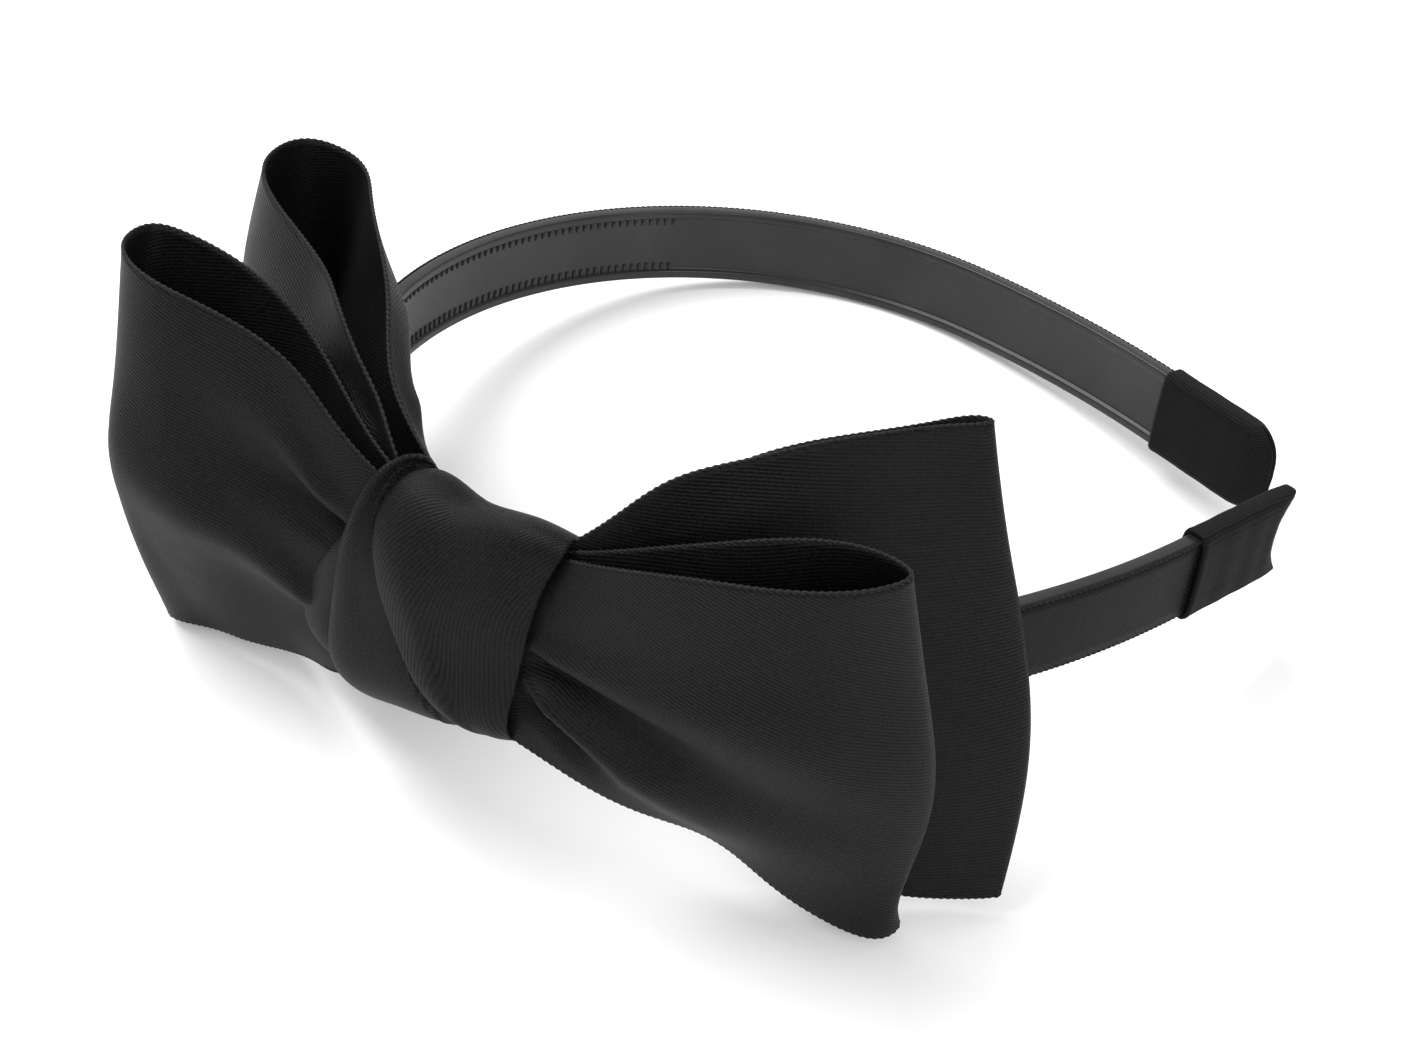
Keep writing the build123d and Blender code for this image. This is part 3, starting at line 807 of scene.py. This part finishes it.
def make_band():
    """The moulding: a crown that stays put across the joint, and two legs that ride on their halves."""
    outline = plastic_outline()
    crown = Shape()
    sweep_band(crown, outline, -CROWN_MESH_RUN, CROWN_MESH_RUN)
    for side in (-1, 1):
        add_teeth(crown, side)
    made = crown.build("band_crown_moulding", [PLASTIC], sharp=CRISP_ANGLE)
    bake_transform(made)
    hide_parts("band_near_half", "band_far_half")
    for side, word in ((-1, "near"), (1, "far")):
        leg = Shape()
        sweep_band(leg, outline, side * CROWN_MESH_RUN, side * HALF_RUN)
        made = leg.build(f"band_{word}_leg_moulding", [PLASTIC], sharp=CRISP_ANGLE)
        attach(made, f"{word}_half")
        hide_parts(f"band_{word}_half")


COVER_SELVEDGE_RADII = (0.29, 0.19)
COVER_SELVEDGE_LIFT = 0.22
COVER_CAMBER = 0.04
COVER_ROWS = 9
COVER_END_GAP = 1


def add_cover(shape, start, stop):
    """The cover ribbon between two runs, with a twisted selvedge along each edge."""
    half = COVER_HALF_WIDTH
    count = int(abs(stop - start) / BAND_STEP) + 1
    runs = np.linspace(start, stop, count)
    camber = [(z, COVER_CAMBER * (1 - (z / half) ** 2)) for z in np.linspace(-half, half, COVER_ROWS)]
    grid = np.array([[(*band_line(run, BAND_DEPTH + COVER_THICKNESS / 2 + rise), z) for run in runs]
                     for z, rise in camber])
    shape.sheet(grid, COVER_THICKNESS)
    for z in (-half, half):
        edge = np.array([(*band_line(run, BAND_DEPTH + COVER_SELVEDGE_LIFT), z) for run in runs])
        shape.tube(twisted_cord(edge, COVER_SELVEDGE_RADII, SELVEDGE_PITCH, sides=7), material=1)


def make_cover():
    """The ribbon glued along the outer face: like the band, one crown stretch and two legs."""
    cloth = satin("cover_twill", 50)
    stretches = (("cover_crown_ribbon", -CROWN_MESH_RUN, CROWN_MESH_RUN, ("near_half", "far_half")),
                 ("cover_near_leg_ribbon", -HALF_RUN + COVER_END_GAP, -CROWN_MESH_RUN, ("near_half",)),
                 ("cover_far_leg_ribbon", CROWN_MESH_RUN, HALF_RUN - COVER_END_GAP, ("far_half",)))
    for name, start, stop, bodies in stretches:
        shape = Shape()
        add_cover(shape, start, stop)
        made = shape.build(name, [cloth, SELVEDGE])
        if len(bodies) == 2:
            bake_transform(made)
        else:
            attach(made, bodies[0])
        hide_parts(*[f"cover_{body}" for body in bodies])


# ---------------------------------------------------------------- end sleeves

SLEEVE_GRIP = 17.0
SLEEVE_OVERHANG = 5.0
SLEEVE_HALF_WIDTH = 6.75
SLEEVE_HALF_DEPTH = 1.75
SLEEVE_WALL = 0.55
SLEEVE_SIDES = 72
SLEEVE_STEPS = 44
FACE_FLATNESS = 0.32
SIDE_FLATNESS = 0.42
RIB_COUNT = 18
RIB_HEIGHT = 0.1
HEM_SWELL = 0.10
HEM_SHARE = 0.05
WAVE_SWELL = 0.03
WAVE_RATE = 23
OPEN_PINCH = 0.30
CLOSED_PINCH = 0.85
MOUTH_DIP = 3.4
MOUTH_CURVE = 2.2
END_DROP = 4.2
END_CURVE = 2.6


def squared(value, power):
    """A sine or cosine pushed towards plus or minus one, which flattens a round section."""
    return abs(value) ** power * (1 if value > 0 else -1)


def sleeve_ring(run, end_shift, depth_share):
    """One ring of a flat elastic tube round the band, ribbed on its faces."""
    ring = []
    middle = OUTER_FACE / 2
    for i in range(SLEEVE_SIDES):
        turn = 2 * pi * i / SLEEVE_SIDES
        z = SLEEVE_HALF_WIDTH * squared(sin(turn), SIDE_FLATNESS)
        rib = RIB_HEIGHT * (0.5 + 0.5 * cos(RIB_COUNT * pi * z / SLEEVE_HALF_WIDTH))
        offset = middle + depth_share * (SLEEVE_HALF_DEPTH + rib) * squared(cos(turn), FACE_FLATNESS)
        ring.append((run + end_shift(z / SLEEVE_HALF_WIDTH), offset, z))
    return ring


def make_sleeve(side, word, end_shape, pinch):
    """An elastic tube pulled over a tip. end_shape is how far its edge stands out, across its width."""
    start = HALF_RUN - SLEEVE_GRIP
    length = SLEEVE_GRIP + SLEEVE_OVERHANG
    rings = []
    for i in range(SLEEVE_STEPS + 1):
        share = i / SLEEVE_STEPS
        past = max(0, share * length - SLEEVE_GRIP) / SLEEVE_OVERHANG
        swell = HEM_SWELL * sin(pi * min(share / HEM_SHARE, 1)) + WAVE_SWELL * sin(share * WAVE_RATE)
        depth = (1 + swell) * (1 - pinch * past ** 1.5)
        ring = sleeve_ring(start + share * length, lambda z, s=share: end_shape(z) * s ** 5, depth)
        rings.append([(*band_line(side * run, offset), z) for run, offset, z in ring])
    grid = np.array(rings)
    shape = Shape()
    shape.sheet(grid, SLEEVE_WALL, closed=True, uv=ring_uv(grid))
    made = shape.build(f"{word}_sleeve_elastic", [ELASTIC])
    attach(made, f"{word}_half")
    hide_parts(f"{word}_end_sleeve")


def concave_mouth(z):
    """A mouth that dips in the middle and keeps two pointed corners."""
    return -MOUTH_DIP * (1 - abs(z) ** MOUTH_CURVE)


def rounded_end(z):
    """An end whose corners are rounded off."""
    return -END_DROP * (1 - sqrt(max(0.0, 1 - min(1.0, abs(z)) ** END_CURVE)))


# ---------------------------------------------------------------- felt and thread inside the knot

FELT_ANGLES = (47.0, 65.0)
FELT_HALF_WIDTH = 5.4
FELT_THICKNESS = 0.9
FELT_LIFT = 0.06
FELT_CORNER = 1.6
FELT_STEPS = (60, 25)
THREAD_RADIUS = 0.25
THREAD_TURNS = 8
THREAD_ANGLE = 56.0
THREAD_HOOP = [(2.7, 12.6), (10.7, 12.6), (11, 0), (10.7, -12.6), (2.7, -12.6), (2.4, 0)]
THREAD_STEPS = 40
THREAD_SPACING = 2.1


def make_felt():
    """A felt patch glued between the cover ribbon and the knot, its corners rounded."""
    grid = []
    low, high = FELT_ANGLES
    for z_share in np.linspace(-1, 1, FELT_STEPS[1]):
        shorten = FELT_CORNER * (1 - sqrt(max(0.0, 1 - abs(z_share) ** 6)))
        row = np.linspace(low + shorten, high - shorten, FELT_STEPS[0])
        height = FELT_THICKNESS / 2 + FELT_LIFT
        grid.append([bow_point(angle, height, z_share * FELT_HALF_WIDTH) for angle in row])
    shape = Shape()
    shape.sheet(np.array(grid), FELT_THICKNESS)
    made = shape.build("backing_felt_patch", [FELT])
    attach(made, "near_half")
    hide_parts("backing_felt")


def make_thread():
    """Sewing thread wound round the gathered waist."""
    path = []
    hoop = spline([(height, z, 0) for height, z in THREAD_HOOP], THREAD_STEPS, closed=True)
    pitch = degrees(THREAD_SPACING * THREAD_RADIUS / COVER_RADIUS)
    for i in range(THREAD_TURNS * THREAD_STEPS + 1):
        height, z, _ = hoop[i % THREAD_STEPS]
        angle = THREAD_ANGLE + pitch * (i / THREAD_STEPS - THREAD_TURNS / 2)
        path.append(bow_point(angle, height, z))
    path = np.array(path)
    side, up = frames_along(path)
    rings = [path + THREAD_RADIUS * (cos(a) * side + sin(a) * up) for a in np.linspace(0, 2 * pi, 9)[:-1]]
    shape = Shape()
    shape.tube(np.array(rings).transpose(1, 0, 2))
    made = shape.build("waist_thread_winding", [THREAD])
    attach(made, "near_half")
    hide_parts("waist_thread")


# ---------------------------------------------------------------- making everything

make_band()
make_cover()
make_sleeve(-1, "near", concave_mouth, OPEN_PINCH)
make_sleeve(1, "far", rounded_end, CLOSED_PINCH)
make_strand("knot_right_strand", RIGHT_STRAND, 60, -60, "knot_over_wrap")
make_strand("knot_left_strand", LEFT_STRAND, 110, 20, "knot_under_wrap",
            ridges=dict(from_edge=2.6, count=5, pitch=0.48, height=0.2))
make_strand("knot_neck", NECK, 30, -55, "knot_under_wrap")
for loop_name, form in LOOPS.items():
    make_loop(loop_name, **form)
make_felt()
make_thread()

# ---------------------------------------------------------------- floor, light and camera

FLOOR_SIZE = 4.0
FLOOR_GAP = 0.0002
WORLD_STRENGTH = 0.75
LIGHT_TARGET = (0, 0, 0.03)
LENS = 57.7
SENSOR_WIDTH = 36
CAMERA_PLACE = (62.6, -287.5, 170.5)
CAMERA_RIGHT = (0.9879, 0.1102, 0.1093)
CAMERA_BACK = (0.0326, -0.8358, 0.5480)


def make_floor():
    bpy.ops.mesh.primitive_plane_add(size=FLOOR_SIZE, location=(0, 0, cad_box[0][2] - FLOOR_GAP))
    floor = bpy.context.object
    floor.name = "floor"
    floor.data.materials.append(new_material("pale_floor", (0.86, 0.86, 0.86), 0.8, specular=0.2)[0])


def add_light(name, size, place, power):
    """A soft box light at a place, facing the headband."""
    data = bpy.data.lights.new(name, "AREA")
    data.shape = "RECTANGLE"
    data.size, data.size_y = size
    data.energy = power
    lamp = bpy.data.objects.new(name, data)
    bpy.context.scene.collection.objects.link(lamp)
    lamp.location = place
    lamp.rotation_euler = (Vector(LIGHT_TARGET) - Vector(place)).to_track_quat("-Z", "Y").to_euler()


def make_world():
    world = bpy.data.worlds.new("studio")
    world.use_nodes = True
    background = world.node_tree.nodes["Background"]
    background.inputs["Color"].default_value = (1, 1, 1, 1)
    background.inputs["Strength"].default_value = WORLD_STRENGTH
    bpy.context.scene.world = world


def make_camera():
    """The camera, placed and turned in the band's own frame."""
    data = bpy.data.cameras.new("camera")
    data.lens = LENS
    data.sensor_width = SENSOR_WIDTH
    data.clip_start = 0.01
    camera = bpy.data.objects.new("camera", data)
    bpy.context.scene.collection.objects.link(camera)
    back = Vector((np.array(CAMERA_BACK) @ AXES).tolist()).normalized()
    right = Vector((np.array(CAMERA_RIGHT) @ AXES).tolist())
    right = (right - back * right.dot(back)).normalized()
    up = back.cross(right)
    turn = Matrix((right, up, back)).transposed().to_4x4()
    camera.matrix_world = Matrix.Translation(to_row(CAMERA_PLACE).tolist()) @ turn
    bpy.context.scene.camera = camera


make_floor()
make_world()
add_light("key_light", (0.7, 0.5), (-0.35, 0.25, 0.75), 9.0)
add_light("front_light", (0.6, 0.6), (0.35, -0.65, 0.55), 4.0)
make_camera()
bpy.context.scene.view_settings.view_transform = "Standard"
